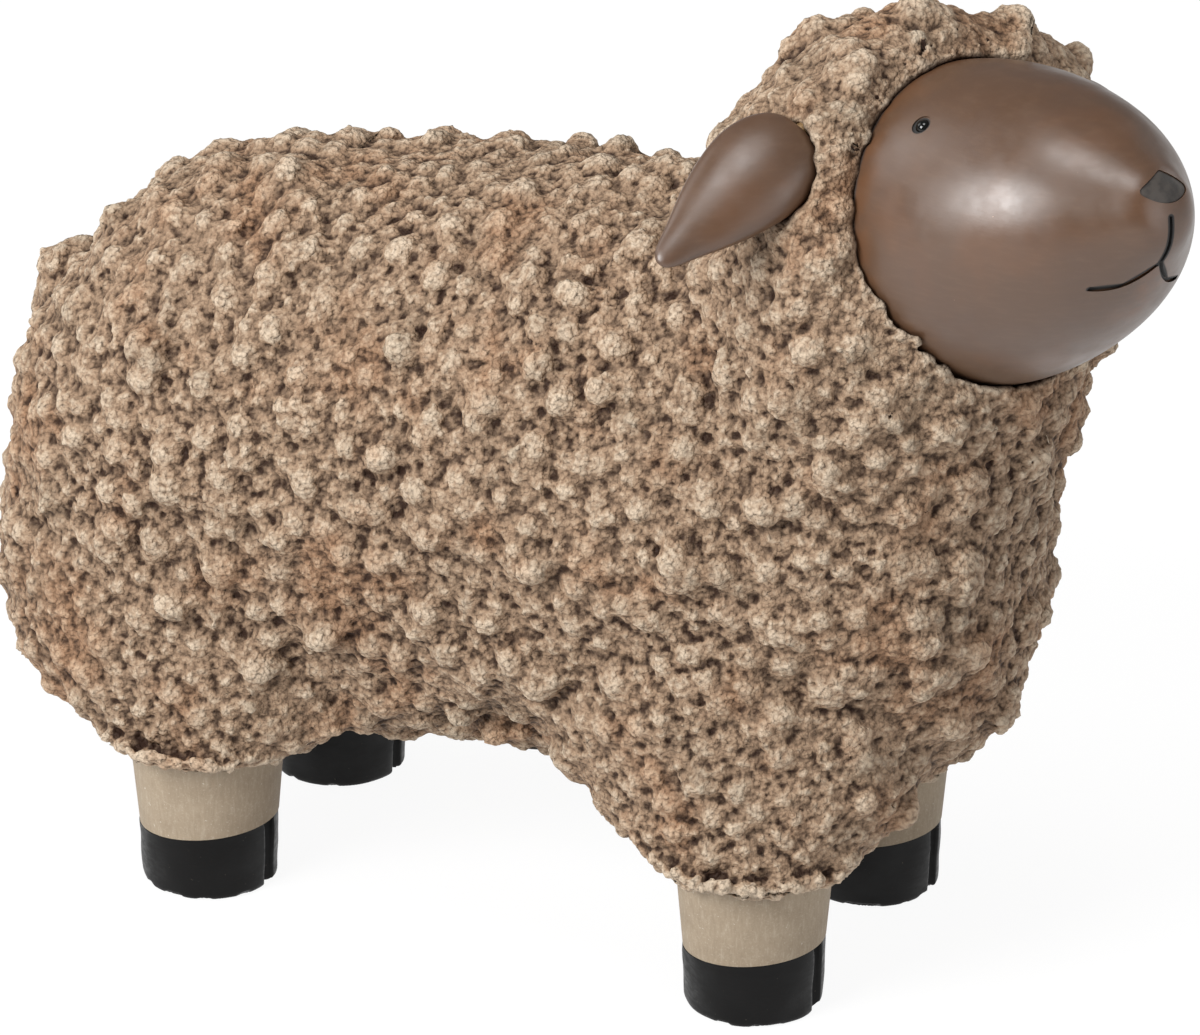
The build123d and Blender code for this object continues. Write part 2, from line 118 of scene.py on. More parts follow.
class NodeDraft:
    """A node tree under construction: its coordinates and a few often used sums."""

    tree: bpy.types.NodeTree
    coords: Socket

    def node(
        self, kind: str, feeds: dict[int | str, Any], output: int | str = 0, **settings: Any
    ) -> Socket:
        """Adds a node, fed and set as add_node does, and returns one of its outputs."""
        return add_node(self.tree, kind, feeds, **settings).outputs[output]

    def noise(
        self,
        size_mm: float,
        detail: float = 3.0,
        rough: float = 0.55,
        stretch: Vector | None = None,
        place: Socket | None = None,
    ) -> Socket:
        """Cloudy noise of a real size.

        Args:
            size_mm: the size of its largest clouds.
            detail: octaves of finer clouds.
            rough: strength of each octave against the one before.
            stretch: shares by which the coordinates are scaled, for grain.
            place: coordinates to use in place of the tree's own.

        Returns:
            The noise's value socket, about 0.25 to 0.75.
        """
        place = place or self.coords
        if stretch is not None:
            place = self.node("ShaderNodeVectorMath", {0: place, 1: stretch}, operation="MULTIPLY")
        feeds = {"Vector": place, "Scale": per_metre(size_mm), "Detail": detail, "Roughness": rough}
        return self.node("ShaderNodeTexNoise", feeds)

    def warped(self, size_mm: float, reach_mm: float) -> Socket:
        """Bends the coordinates, so that a pattern laid on them loses its evenness.

        Args:
            size_mm: the size of the bends.
            reach_mm: how far they move a place at most.

        Returns:
            The bent coordinates' socket.
        """
        feeds = {"Vector": self.coords, "Scale": per_metre(size_mm), "Detail": 2.0}
        bend = self.node("ShaderNodeTexNoise", feeds, "Color")
        feeds = {0: bend, 1: Vector((1, 1, 1)) * reach_mm * MM, 2: self.coords}
        return self.node("ShaderNodeVectorMath", feeds, operation="MULTIPLY_ADD")

    def cells(self, size_mm: float, place: Socket) -> Socket:
        """Distance from the middle of the nearest grain of a real size, in grains."""
        feeds = {"Vector": place, "Scale": per_metre(size_mm)}
        return self.node("ShaderNodeTexVoronoi", feeds, "Distance")

    def times(self, one: Any, other: Any) -> Socket:
        """Multiplies two values."""
        return self.node("ShaderNodeMath", {0: one, 1: other}, operation="MULTIPLY")

    def larger(self, one: Any, other: Any) -> Socket:
        """Takes the larger of two values."""
        return self.node("ShaderNodeMath", {0: one, 1: other}, operation="MAXIMUM")

    def sum_of(self, *terms: tuple[float, Any]) -> Socket:
        """Adds sockets, each with its weight.

        Args:
            terms: pairs of a weight and a socket.

        Returns:
            The weighted sum's socket.
        """
        total: Any = 0.0
        for weight, socket in terms:
            total = self.node("ShaderNodeMath", {0: socket, 1: weight, 2: total}, operation="MULTIPLY_ADD")
        return total


class MaterialDraft(NodeDraft):
    """A material under construction."""

    def __init__(self, name: str) -> None:
        """Starts an empty material.

        Args:
            name: the material's name.
        """
        self.material = bpy.data.materials.new(name)
        self.material.use_nodes = True
        self.tree = self.material.node_tree
        self.tree.nodes.clear()
        self.coords = self.node("ShaderNodeTexCoord", {}, "Object")

    def beads(self, distance: Socket) -> Socket:
        """Height of round beads with a sharp crease between them, from the distance to their middles."""
        return self.sum_of((-1.0, self.times(distance, distance)))

    def spread(
        self, value: Socket, low: float, high: float, to_low: float = 0.0, to_high: float = 1.0
    ) -> Socket:
        """Stretches a value smoothly, so that low becomes to_low and high becomes to_high, clamped."""
        feeds = {0: value, 1: low, 2: high, 3: to_low, 4: to_high}
        return self.node("ShaderNodeMapRange", feeds, interpolation_type="SMOOTHSTEP")

    def dot(self, place: Any, origin: Vector, way: Vector) -> Socket:
        """How far a place lies along a direction from an origin, in metres for a unit direction."""
        away = self.node("ShaderNodeVectorMath", {0: place, 1: origin}, operation="SUBTRACT")
        return self.node("ShaderNodeVectorMath", {0: away, 1: way}, "Value", operation="DOT_PRODUCT")

    def plane_coords(self, origin: Vector, across: Vector, up: Vector) -> Socket:
        """Flattens the coordinates onto a plane.

        Args:
            origin: the plane's origin, in metres.
            across: the direction of the first coordinate.
            up: the direction of the second.

        Returns:
            A vector socket with the distance from the middle line, the height and zero.
        """
        side = self.dot(self.coords, origin, across)
        side = self.node("ShaderNodeMath", {0: side}, operation="ABSOLUTE")
        return self.node("ShaderNodeCombineXYZ", {0: side, 1: self.dot(self.coords, origin, up)})

    def distance_to(self, spot: Any, place: Any) -> Socket:
        """Distance between a place and a spot, in metres."""
        return self.node("ShaderNodeVectorMath", {0: place, 1: spot}, "Value", operation="DISTANCE")

    def segment_distance(self, flat: Any, start: tuple[float, float], end: tuple[float, float]) -> Socket:
        """Distance from a straight line between two points of a plane.

        Args:
            flat: the flattened coordinates' socket.
            start: the line's start on the plane, in millimetres.
            end: its end.

        Returns:
            The distance's socket, in metres.
        """
        first, last = Vector((*start, 0.0)) * MM, Vector((*end, 0.0)) * MM
        run = last - first
        share = self.times(self.dot(flat, first, run), 1 / run.length_squared)
        share = self.node("ShaderNodeClamp", {0: share})
        nearest = self.node("ShaderNodeVectorMath", {0: run, "Scale": share}, operation="SCALE")
        nearest = self.node("ShaderNodeVectorMath", {0: nearest, 1: first}, operation="ADD")
        return self.distance_to(nearest, flat)

    def mix(self, share: Any, under: Any, over: Any, how: Blend = Blend.OVER) -> Socket:
        """Lays a share of one colour over another, each a number, a colour or a socket."""
        feeds = {0: share, 6: under, 7: over}
        return self.node("ShaderNodeMix", feeds, 2, data_type="RGBA", blend_type=how.value)

    def bump(self, height: Any, depth_mm: float, strength: float, under: Any = None) -> Socket:
        """Turns a height into a bumped normal.

        Args:
            height: the socket that says the height, from zero to one.
            depth_mm: the real height of one.
            strength: how much of the bump shows.
            under: another bump's normal to build on.

        Returns:
            The normal's socket.
        """
        feeds = {"Height": height, "Distance": depth_mm * MM, "Strength": strength}
        if under is not None:
            feeds["Normal"] = under
        return self.node("ShaderNodeBump", feeds)

    def finish(self, **sockets: Any) -> bpy.types.Material:
        """Closes the material with one principled shader.

        Args:
            sockets: values or sockets for the shader, with spaces written as underscores.

        Returns:
            The finished material.
        """
        feeds = {name.replace("_", " "): value for name, value in sockets.items()}
        shader = self.node("ShaderNodeBsdfPrincipled", feeds)
        add_node(self.tree, "ShaderNodeOutputMaterial", {0: shader})
        return self.material


class ReliefDraft(NodeDraft):
    """A geometry tree under construction, which moves points along their normals."""

    def __init__(self, name: str) -> None:
        """Starts a tree whose coordinates are the points' places.

        Args:
            name: the tree's name.
        """
        self.tree = bpy.data.node_groups.new(name, "GeometryNodeTree")
        for way in ("INPUT", "OUTPUT"):
            self.tree.interface.new_socket("Geometry", in_out=way, socket_type="NodeSocketGeometry")
        self.coords = self.node("GeometryNodeInputPosition", {})

    def ramp(self, value: Any, low: float, high: float, to_low: float, to_high: float) -> Socket:
        """Stretches a value evenly, so that low becomes to_low and high becomes to_high, clamped."""
        return self.node("ShaderNodeMapRange", {0: value, 1: low, 2: high, 3: to_low, 4: to_high})

    def add_to(self, holder: bpy.types.Object, height: Any) -> None:
        """Closes the tree and adds it to an object as a modifier.

        Args:
            holder: the object that gets the modifier.
            height: the socket that says how far each point moves, in metres.
        """
        start = self.node("NodeGroupInput", {})
        normal = self.node("GeometryNodeInputNormal", {})
        offset = self.node("ShaderNodeVectorMath", {0: normal, "Scale": height}, operation="SCALE")
        moved = self.node("GeometryNodeSetPosition", {"Geometry": start, "Offset": offset})
        add_node(self.tree, "NodeGroupOutput", {0: moved})
        holder.modifiers.new(self.tree.name, "NODES").node_group = self.tree


@dataclass(frozen=True)
class Head:
    """Where the head is and how it is turned, as in the solids, in millimetres and degrees."""

    turn: float = 23.5
    lift: float = 20.5
    roll: float = 9.0
    centre: tuple[float, float, float] = (133.27, 0.0, 310.0)
    seat: float = 29.0
    vent_reach: float = 11.5
    spigot_reach: float = 53.25
    bore_middle: float = 26.5
    philtrum: tuple[tuple[float, float], ...] = ((0.0, -3.0), (0.0, -18.5))
    lips: tuple[tuple[float, float], ...] = ((0.0, -18.5), (10.75, -25.5), (21.5, -25.5))

    def axis(self) -> Vector:
        """Direction in which the face looks."""
        turn, lift = math.radians(self.turn), math.radians(self.lift)
        return Vector((math.cos(lift) * math.cos(turn), -math.cos(lift) * math.sin(turn), math.sin(lift)))

    def left(self) -> Vector:
        """Direction from the face's middle to its left eye's side."""
        turn, roll = math.radians(self.turn), math.radians(self.roll)
        level = Vector((math.sin(turn), math.cos(turn), 0.0))
        return level * math.cos(roll) - self.axis().cross(level) * math.sin(roll)

    def up(self) -> Vector:
        """Direction from the chin to the forehead."""
        return self.axis().cross(self.left())

    def along_and_out(self, place: Vector) -> tuple[float, float]:
        """Place of a point along the head's axis and out from it, in metres."""
        from_centre = place - Vector(self.centre) * MM
        along = from_centre.dot(self.axis())
        return along, (from_centre - self.axis() * along).length


@dataclass(frozen=True)
class WashedStoneCasting:
    """Stone-filled resin, cast rough, washed with brown and rubbed back so that its tops stay pale, with
    painted shade laid into its hollows and creases.
    """

    # Brown wash and painted shade together, laid into hollows, creases, cracks and seams.
    hollow: str = "2E190B"
    mid: str = "A1866D"
    top: str = "CCB9A2"
    red_wash: str = "E6C2A4"
    grey_wash: str = "E0E2E2"
    granule_mm: float = 2.3
    grit_mm: float = 1.15

    def build(self) -> bpy.types.Material:
        """Makes the material, which reads the relief stored on the fleece's points."""
        draft = MaterialDraft("washed_stone_casting")
        coarse, fine, seam = (
            draft.node("ShaderNodeAttribute", {}, "Fac", attribute_name=name)
            for name in ("relief_coarse", "relief_fine", "seam")
        )
        warped = draft.warped(3.0, 0.7)
        granule = draft.cells(self.granule_mm, warped)
        grit = draft.cells(self.grit_mm, warped)
        dust = draft.noise(0.6, 2.0)
        cloud = draft.noise(14.0, 4.0, 0.6)
        depth = draft.sum_of((0.6, coarse), (1.6, fine), (1.4, cloud), (-0.7, granule), (-0.3, grit))
        # The wash stays in the hollows, and painted shade darkens them further, which gives each knob its
        # dark outline.
        body = draft.mix(draft.spread(depth, -2.2, 0.5), linear(self.hollow), linear(self.mid))
        worn = draft.mix(draft.spread(depth, 0.0, 2.3, 0.0, 0.95), body, linear(self.top))
        # Reddish patches are where the brown wash was wiped less, and grey ones where it was wiped off.
        red = draft.spread(draft.noise(44.0, 3.0, 0.6), 0.50, 0.68, 0.0, 0.5)
        washed = draft.mix(red, worn, linear(self.red_wash), Blend.MULTIPLY)
        grey = draft.spread(draft.noise(27.0, 3.0, 0.6), 0.52, 0.68, 0.0, 0.7)
        washed = draft.mix(grey, washed, linear(self.grey_wash), Blend.MULTIPLY)
        # It is darkest in the narrow creases that run round each knob, more so in some places: brown wash
        # with painted shade.
        crease = draft.spread(fine, -0.55, -0.02, 1.0, 0.0)
        crease = draft.times(crease, draft.spread(draft.noise(38.0, 3.0, 0.6), 0.38, 0.62, 0.6, 0.97))
        washed = draft.mix(crease, washed, linear(self.hollow))
        # Wash and painted shade also lie between granules and grit, so that each one shows.
        crack = draft.spread(granule, 0.45, 0.8, 0.0, 0.2)
        colour = draft.mix(crack, washed, linear(self.hollow))
        colour = draft.mix(draft.spread(grit, 0.5, 0.85, 0.0, 0.15), colour, linear(self.hollow))
        # Painted shade, with some brown wash, darkens the fleece where it meets the face, ears and legs.
        colour = draft.mix(draft.spread(seam, 0.0, 1.0, 0.0, 0.85), colour, linear(self.hollow))
        normal = draft.bump(draft.beads(granule), 1.3, 1.0)
        normal = draft.bump(draft.beads(grit), 0.45, 1.0, normal)
        normal = draft.bump(dust, 0.12, 0.6, normal)
        return draft.finish(
            Base_Color=colour,
            Roughness=draft.spread(dust, 0.3, 0.7, 0.6, 0.85),
            Normal=normal,
            Specular_IOR_Level=0.3,
        )


@dataclass(frozen=True)
class SatinHidePaint:
    """Brown satin paint brushed over smooth cast resin, with a little of the red ground showing."""

    body: str = "583F2D"
    red: str = "70482A"
    mauve: str = "533D30"
    nick: str = "C9A27E"
    streak_mm: float = 2.2

    def ground(self, draft: MaterialDraft) -> tuple[Socket, Socket]:
        """Paints the body colour, its soft mottling, its brush streaks and a few pale nicks.

        Args:
            draft: the material under construction.

        Returns:
            The colour's socket and the streaks' socket.
        """
        red = draft.spread(draft.noise(40.0, 3.0), 0.50, 0.70, 0.0, 0.28)
        mauve = draft.spread(draft.noise(30.0, 3.0), 0.45, 0.70, 0.0, 0.45)
        colour = draft.mix(mauve, linear(self.body), linear(self.mauve))
        colour = draft.mix(red, colour, linear(self.red))
        streak = draft.noise(self.streak_mm, 4.0, 0.65, Vector((0.3, 0.3, 1.5)))
        colour = draft.mix(draft.spread(streak, 0.45, 0.75, 0.0, 0.08), colour, linear("8C6D54"))
        colour = draft.mix(draft.spread(streak, 0.25, 0.42, 0.08, 0.0), colour, linear("45322A"))
        nick = draft.spread(draft.noise(3.4, 5.0, 0.7), 0.73, 0.76, 0.0, 0.7)
        return draft.mix(nick, colour, linear(self.nick)), streak

    def close(self, draft: MaterialDraft, colour: Any, streak: Any, dark: Any = None) -> bpy.types.Material:
        """Gives the paint its satin, which is duller where it is dark.

        Args:
            draft: the material under construction.
            colour: the colour's socket.
            streak: the streaks' socket.
            dark: the socket that says where the paint is dark and dull, painted shade included.

        Returns:
            The finished material.
        """
        normal = draft.bump(draft.noise(26.0, 2.0), 0.4, 0.25)
        normal = draft.bump(streak, 0.06, 0.4, normal)
        satin = draft.spread(draft.noise(9.0, 4.0), 0.3, 0.7, 0.33, 0.42)
        if dark is not None:
            satin = draft.sum_of((1.0, satin), (0.4, dark))
        return draft.finish(Base_Color=colour, Roughness=satin, Normal=normal, Specular_IOR_Level=0.85)

    def build(self) -> bpy.types.Material:
        """Makes the ears' material, whose broad soft highlight comes from its even satin."""
        draft = MaterialDraft("satin_hide_paint")
        return self.close(draft, *self.ground(draft))

    def build_face(self, head: Head) -> bpy.types.Material:
        """Makes the face's material: the same paint, rubbed red at its rim and round its mouth, with
        dark paint run into the grooves and the eye sockets, and painted shade along its back edge.

        Args:
            head: the head's frame, which places the grooves.

        Returns:
            The finished material.
        """
        draft = MaterialDraft("satin_hide_paint_face")
        colour, streak = self.ground(draft)
        centre = Vector(head.centre) * MM
        flat = draft.plane_coords(centre, head.left(), head.up())
        along = draft.dot(draft.coords, centre, head.axis())
        patchy = draft.noise(11.0, 3.0)
        rim = draft.spread(along, (head.seat + 1) * MM, (head.seat + 14) * MM, 0.45, 0.0)
        mouth = draft.distance_to(Vector((0.0, -29.0, 0.0)) * MM, flat)
        mouth = draft.spread(mouth, 3 * MM, 15 * MM, 0.6, 0.0)
        nose = draft.distance_to(Vector((0.0, 2.0, 0.0)) * MM, flat)
        nose = draft.spread(nose, 9 * MM, 20 * MM, 0.3, 0.0)
        front = draft.spread(along, 70 * MM, 95 * MM)
        tint = draft.sum_of((1.0, draft.times(front, mouth)), (1.0, draft.times(front, nose)), (1.0, rim))
        tint = draft.times(tint, draft.spread(patchy, 0.35, 0.62))
        colour = draft.mix(tint, colour, linear(self.red))
        grooves: Any = None
        for path, half_width in ((head.philtrum, 1.2), (head.lips, 0.35)):
            for start, end in zip(path, path[1:]):
                away = draft.segment_distance(flat, start, end)
                near = draft.spread(away, half_width * MM, (half_width + 0.7) * MM, 1.0, 0.0)
                grooves = near if grooves is None else draft.larger(grooves, near)
        dark = draft.times(grooves, front)
        for node in ("right_eye", "left_eye"):
            low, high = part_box(node)
            away = draft.distance_to((low + high) / 2, draft.coords)
            dark = draft.larger(dark, draft.spread(away, 3.7 * MM, 4.3 * MM, 1.0, 0.0))
        # Painted shade along the face's back edge, where it sits deep in the fleece's hood.
        edge = draft.spread(along, head.seat * MM, (head.seat + 1.6) * MM, 0.85, 0.0)
        dark = draft.larger(dark, edge)
        colour = draft.mix(dark, colour, linear("0E0A08"))
        return self.close(draft, colour, streak, dark)


@dataclass(frozen=True)
class BrushedStonePaint:
    """Beige stone paint on the legs, stippled matt."""

    body: str = "A0907B"
    light: str = "BBAE9B"
    dark: str = "83735F"
    drag_mm: float = 1.6
    grain_mm: float = 0.9

    def build(self) -> bpy.types.Material:
        """Makes the material, matt with fine grain, pale specks and faint upright drag lines."""
        draft = MaterialDraft("brushed_stone_paint")
        drag = draft.noise(self.drag_mm, 4.0, 0.6, Vector((1.3, 1.3, 0.22)))
        grain = draft.noise(self.grain_mm, 3.0, 0.7)
        cloud = draft.noise(18.0, 4.0)
        colour = draft.mix(draft.spread(cloud, 0.40, 0.68, 0.0, 0.35), linear(self.body), linear(self.dark))
        colour = draft.mix(draft.spread(drag, 0.30, 0.50, 0.30, 0.0), colour, linear(self.dark))
        colour = draft.mix(draft.spread(drag, 0.52, 0.72, 0.0, 0.35), colour, linear(self.light))
        colour = draft.mix(draft.spread(grain, 0.52, 0.72, 0.0, 0.5), colour, linear(self.light))
        colour = draft.mix(draft.spread(grain, 0.28, 0.42, 0.3, 0.0), colour, linear(self.dark))
        speck = draft.spread(draft.noise(1.7, 2.0, 0.6), 0.70, 0.76, 0.0, 0.7)
        colour = draft.mix(speck, colour, linear("D8D0C2"))
        normal = draft.bump(grain, 0.14, 0.5, draft.bump(drag, 0.05, 0.4))
        return draft.finish(Base_Color=colour, Roughness=0.62, Normal=normal, Specular_IOR_Level=0.35)


@dataclass(frozen=True)
class HoofEnamel:
    """Black brushing enamel, half gloss, with specks of dust and a rubbed foot."""

    body: str = "070606"
    rubbed: str = "151210"
    dust: str = "5E564C"
    brush_mm: float = 2.0

    def build(self) -> bpy.types.Material:
        """Makes the material, whose brush marks break its gloss."""
        draft = MaterialDraft("hoof_enamel")
        brush = draft.noise(self.brush_mm, 3.0, 0.6, Vector((0.5, 0.5, 1.2)))
        height = draft.node("ShaderNodeSeparateXYZ", {0: draft.coords}, 2)
        low = draft.spread(height, 0.0, 3 * MM, 1.0, 0.0)
        scuff = draft.spread(draft.noise(6.0, 4.0, 0.7), 0.45, 0.62)
        colour = draft.mix(draft.spread(brush, 0.5, 0.75, 0.0, 0.3), linear(self.body), linear(self.rubbed))
        colour = draft.mix(draft.times(low, scuff), colour, linear(self.rubbed))
        speck = draft.spread(draft.noise(1.5, 3.0, 0.6), 0.70, 0.75, 0.0, 0.5)
        colour = draft.mix(speck, colour, linear(self.dust))
        return draft.finish(
            Base_Color=colour,
            Roughness=draft.spread(brush, 0.3, 0.7, 0.34, 0.5),
            Normal=draft.bump(brush, 0.12, 0.5),
            Specular_IOR_Level=0.2,
        )


@dataclass(frozen=True)
class PlainFinish:
    """A small piece's finish: one body colour, broken by cloud and grain of real sizes."""

    name: str
    body: str
    shade: str
    cloud_mm: float
    roughness: float
    metallic: float = 0.0
    grain: tuple[float, float, float] = (1.0, 1.0, 1.0)
    bump_mm: float = 0.03

    def build(self) -> bpy.types.Material:
        """Makes the material from its two tones."""
        draft = MaterialDraft(self.name)
        cloud = draft.noise(self.cloud_mm, 3.0, 0.6, Vector(self.grain))
        colour = draft.mix(draft.spread(cloud, 0.35, 0.65), linear(self.body), linear(self.shade))
        return draft.finish(
            Base_Color=colour,
            Roughness=self.roughness,
            Metallic=self.metallic,
            Normal=draft.bump(cloud, self.bump_mm, 0.5),
        )


# Slate-grey satin on the nose, drier than the face, so that the recess reads as a dark triangle.
SLATE_SATIN = PlainFinish("slate_satin", "35312E", "4A443F", 5.0, 0.5)
# Black glass of the eyes, which mirrors the lamps in one small point.
BLACK_GLASS = PlainFinish("black_glass", "040404", "0A0908", 3.0, 0.08, bump_mm=0.003)
# Moulded rubber of the vent plug, dull and slightly dusty.
MOULDED_RUBBER = PlainFinish("moulded_rubber", "24211E", "35302B", 4.0, 0.75)
# Turned beech of the ear dowels, with grain along the wood.
TURNED_BEECH = PlainFinish("turned_beech", "B8976A", "A07F55", 1.5, 0.6, 0.0, (1.0, 0.15, 0.6))
# Drawn steel of the leg rods, with die lines along the bar.
DRAWN_STEEL = PlainFinish("drawn_steel", "8E8E8B", "7B7B79", 0.8, 0.32, 1.0, (1.0, 1.0, 0.05))


def points_and_triangles(mesh: bpy.types.Mesh) -> tuple[np.ndarray, np.ndarray]:
    """Reads a mesh into arrays.

    Args:
        mesh: the mesh to read.

    Returns:
        Its points, in metres, and its triangles' point numbers.
    """
    points = np.empty(len(mesh.vertices) * 3)
    mesh.vertices.foreach_get("co", points)
    mesh.calc_loop_triangles()
    corners = np.empty(len(mesh.loop_triangles) * 3, np.int32)
    mesh.loop_triangles.foreach_get("vertices", corners)
    return points.reshape(-1, 3), corners.reshape(-1, 3)


def point_normals(mesh: bpy.types.Mesh) -> np.ndarray:
    """Outward directions at a mesh's points."""
    normals = np.empty(len(mesh.vertices) * 3)
    mesh.vertex_normals.foreach_get("vector", normals)
    return normals.reshape(-1, 3)


def mesh_of(name: str, points: np.ndarray, faces: np.ndarray) -> bpy.types.Mesh:
    """Builds a mesh from arrays.

    Args:
        name: the mesh's name.
        points: its points, in metres.
        faces: point numbers of its faces, all of one size.

    Returns:
        The mesh, smooth shaded.
    """
    count, size = faces.shape
    mesh = bpy.data.meshes.new(name)
    mesh.vertices.add(len(points))
    mesh.vertices.foreach_set("co", points.astype(np.float32).ravel())
    mesh.loops.add(count * size)
    mesh.loops.foreach_set("vertex_index", faces.astype(np.int32).ravel())
    mesh.polygons.add(count)
    mesh.polygons.foreach_set("loop_start", np.arange(0, count * size, size, dtype=np.int32))
    mesh.update(calc_edges=True)
    mesh.polygons.foreach_set("use_smooth", np.ones(count, bool))
    return mesh


def with_modifiers(mesh: bpy.types.Mesh, *makers: Any) -> bpy.types.Mesh:
    """Runs modifiers over a mesh on a passing object.

    Args:
        mesh: the mesh to start from.
        makers: functions that each add a modifier to the object they are given.

    Returns:
        The mesh that results.
    """
    holder = bpy.data.objects.new("passing", mesh)
    bpy.context.scene.collection.objects.link(holder)
    for maker in makers:
        maker(holder)
    graph = bpy.context.evaluated_depsgraph_get()
    result = bpy.data.meshes.new_from_object(holder.evaluated_get(graph))
    bpy.data.objects.remove(holder)
    return result


def add_voxels(holder: bpy.types.Object, size_mm: float) -> None:
    """Adds a modifier that wraps everything in one skin of even faces.

    Args:
        holder: the object that gets the modifier.
        size_mm: the faces' size.
    """
    wrap = holder.modifiers.new("wrap", "REMESH")
    wrap.mode = "VOXEL"
    wrap.voxel_size = size_mm * MM
    wrap.use_smooth_shade = True


def put_piece(
    name: str, mesh: bpy.types.Mesh, finish: bpy.types.Material, node: str
) -> None:
    """Puts a mesh in the scene as a piece that stands in for a solid.

    Args:
        name: the piece's name.
        mesh: its mesh.
        finish: its material.
        node: the solid that it replaces.
    """
    mesh.materials.clear()
    mesh.materials.append(finish)
    piece = bpy.data.objects.new(name, mesh)
    bpy.context.scene.collection.objects.link(piece)
    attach(piece, BODY)
    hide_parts(node)
    log.info("%s: %d points, %d faces", name, len(mesh.vertices), len(mesh.polygons))


def smooth_shaded(mesh: bpy.types.Mesh) -> None:
    """Shades all of a mesh's faces smooth."""
    mesh.polygons.foreach_set("use_smooth", np.ones(len(mesh.polygons), bool))


def moved_to(mesh: bpy.types.Mesh, points: np.ndarray) -> None:
    """Moves a mesh's points to new places, in metres."""
    mesh.vertices.foreach_set("co", points.astype(np.float32).ravel())
    mesh.update()


@dataclass
class KnobSize:
    """One size of knob on the fleece: its spacing and radii, in millimetres, and shares.

    sunk_least and sunk_most say how much of a knob's radius lies under the surface, ring_share how
    near knobs may come, in spacings, and seam_share how near a seam, in radii. rings says how finely
    each ball is divided.
    """

    spacing: float
    smallest: float
    largest: float
    sunk_least: float
    sunk_most: float
    ring_share: float
    seam_share: float
    rings: int


@dataclass
class Push:
    """A broad hand push into the wet casting, in millimetres: its place, reach and movement."""

    place: tuple[float, float, float]
    reach: float
    move: tuple[float, float, float]


